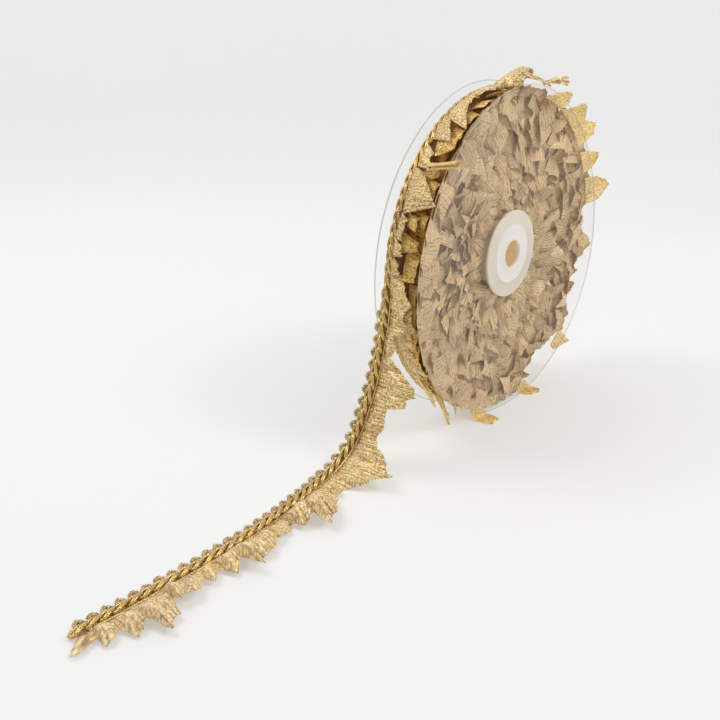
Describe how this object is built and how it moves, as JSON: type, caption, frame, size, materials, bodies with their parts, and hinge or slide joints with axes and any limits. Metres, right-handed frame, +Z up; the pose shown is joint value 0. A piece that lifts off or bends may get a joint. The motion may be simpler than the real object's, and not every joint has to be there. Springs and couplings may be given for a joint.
{
  "type": "metallic lace trim wound on a clear reel",
  "caption": "Ruffled metallic gold trim with a chain-stitch cord, wound on a clear disc reel with its loose end hanging down and laid out on the surface.",
  "frame": {"origin": "centre of the whole part's box in plan, on the surface that the reel stands on", "axes": "+Z up, +Y along the reel's axis from the near disc to the far disc, -X towards the loose end"},
  "size_m": [0.3302, 0.0352, 0.1568],
  "materials": {
    "clear_disc": "clear, slightly hazy, glossy",
    "hub_plastic": "white, slightly translucent, satin",
    "metallic_ribbon": "pale gold metallic woven ribbon, crumpled, with a soft glitter",
    "metallic_cord": "gold metallic cord in chain stitch",
    "metallic_gimp": "crimped gold metallic gimp loops"
  },
  "bodies": {
    "root": {"flange_near": "clear_disc", "flange_far": "clear_disc", "core": "hub_plastic", "roll": "metallic_ribbon", "tail_ribbon": "metallic_ribbon", "tail_chain": "metallic_cord", "tail_picot": "metallic_gimp"}
  },
  "joints": []
}
